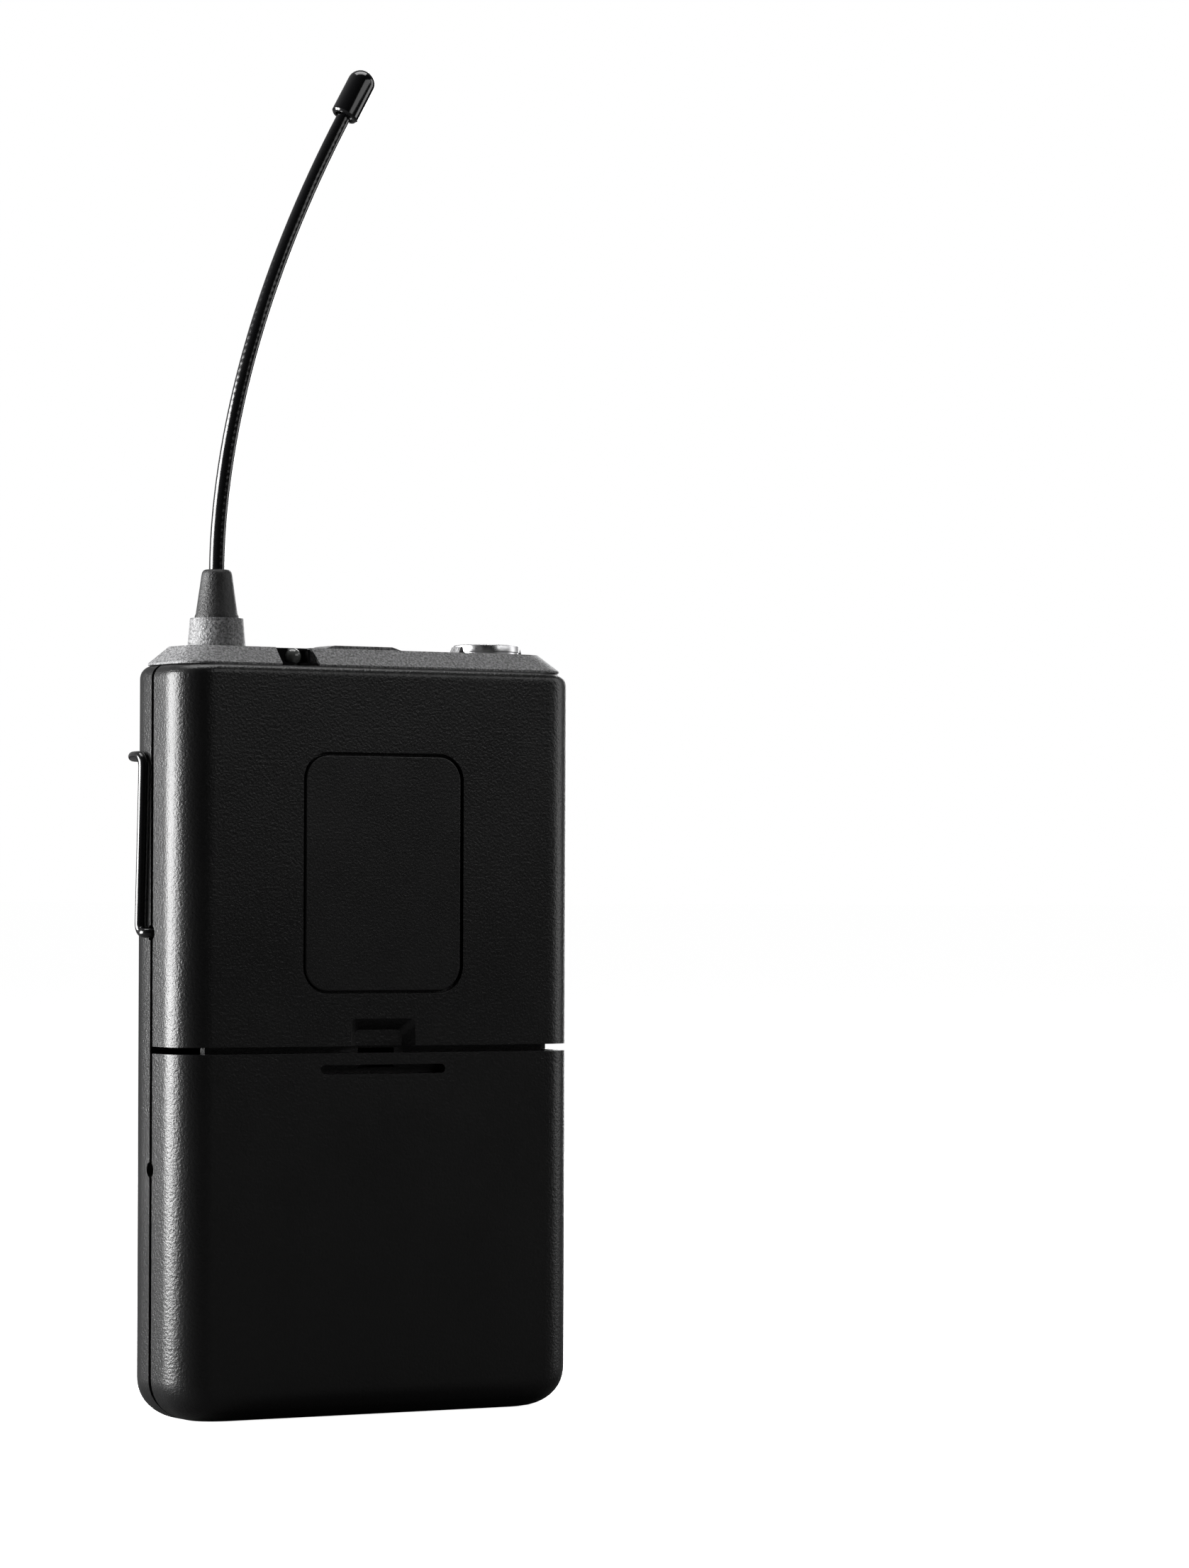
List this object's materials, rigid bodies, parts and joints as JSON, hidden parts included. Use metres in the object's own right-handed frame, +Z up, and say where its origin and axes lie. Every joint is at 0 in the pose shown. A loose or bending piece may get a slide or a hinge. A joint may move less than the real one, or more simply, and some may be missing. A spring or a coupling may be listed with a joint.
{
  "type": "wireless bodypack transmitter",
  "caption": "Belt-worn audio transmitter with whip antenna, mini-XLR jack, hinged battery door, slide switch and sprung wire belt clip",
  "frame": {"origin": "middle of the bottom face, on the plane where the front and rear halves meet", "axes": "+Z up towards the antenna, -Y out of the front face with the battery door, +X to the jack side seen from the front"},
  "size_m": [0.068, 0.0242, 0.1948],
  "materials": {
    "black_shell": "fine spark-eroded texture, satin",
    "inlay_film": "fine texture, satin",
    "bright_steel": "zinc plated",
    "grey_cap": "coarse spark-eroded texture",
    "gloss_black": "polished",
    "lamp_lens": "clear, unlit",
    "black_knob": "satin",
    "switch_metal": "stamped",
    "brass_fitting": "turned",
    "black_rubber": "moulded, matt with fine grain",
    "whip_sleeve": "glossy sleeve over a close wound spring",
    "jack_chrome": "bright plated",
    "gold_contact": "gold plated",
    "clip_wire": "glossy black coating on spring wire",
    "tray_plastic": "as moulded",
    "cell_jacket": "printed shrink sleeve without lettering",
    "contact_steel": "nickel plated",
    "circuit_board": "solder mask with copper lines",
    "ceramic_body": "ceramic",
    "white_rotor": "as moulded",
    "red_switch": "as moulded",
    "shield_tin": "tin plated",
    "chip_epoxy": "moulded epoxy",
    "capacitor_sleeve": "shrink sleeve and bare aluminium top",
    "coil_core": "enamelled winding",
    "black_screw": "blackened"
  },
  "bodies": {
    "root": {"rear_shell": "black_shell", "front_cover": "black_shell", "inlay_plate": "inlay_film", "door_hinge_pins": "bright_steel", "top_cap": "grey_cap", "led_bezel": "gloss_black", "led_lens": "lamp_lens", "switch_body": "switch_metal", "antenna_foot": "brass_fitting", "antenna_boot": "black_rubber", "antenna_whip": "whip_sleeve", "antenna_tip": "gloss_black", "jack_shell": "jack_chrome", "jack_insulator": "black_knob", "jack_pins": "gold_contact", "jack_nut": "bright_steel", "belt_clip_legs": "clip_wire", "battery_tray": "tray_plastic", "battery_cell_lower": "cell_jacket", "battery_cell_upper": "cell_jacket", "contact_plates": "contact_steel", "contact_springs": "contact_steel", "control_board": "circuit_board", "trimmer_body": "ceramic_body", "channel_switch": "red_switch", "main_board": "circuit_board", "shield_can": "shield_tin", "circuit_chips": "chip_epoxy", "crystal_can": "shield_tin", "capacitors": "capacitor_sleeve", "coils": "coil_core", "jack_board": "circuit_board", "tray_screws": "bright_steel", "board_screws": "bright_steel", "case_screws": "black_screw", "cap_screws": "bright_steel"},
    "battery_door": {"battery_door": "black_shell"},
    "power_switch": {"power_switch": "black_knob"},
    "clip_tongue": {"belt_clip_tongue": "clip_wire"},
    "gain_trimmer": {"gain_trimmer": "white_rotor"}
  },
  "joints": [
    {"name": "door_hinge", "type": "hinge", "parent": "root", "child": "battery_door", "pos_m": [0, -0.0053, 0.0042], "axis": [1, 0, 0], "range_deg": [0, 90]},
    {"name": "switch_slide", "type": "slide", "parent": "root", "child": "power_switch", "axis": [1, 0, 0], "range_m": [0, 0.003]},
    {"name": "clip_spring", "type": "hinge", "parent": "root", "child": "clip_tongue", "pos_m": [0, 0.0106, 0.0946], "axis": [1, 0, 0], "range_deg": [0, 14], "stiffness_Nm_per_rad": 0.6, "springref_deg": -2.86},
    {"name": "trimmer_turn", "type": "hinge", "parent": "root", "child": "gain_trimmer", "pos_m": [-0.013, -0.0026, 0.0473], "axis": [0, 1, 0], "range_deg": [-130, 130]}
  ]
}
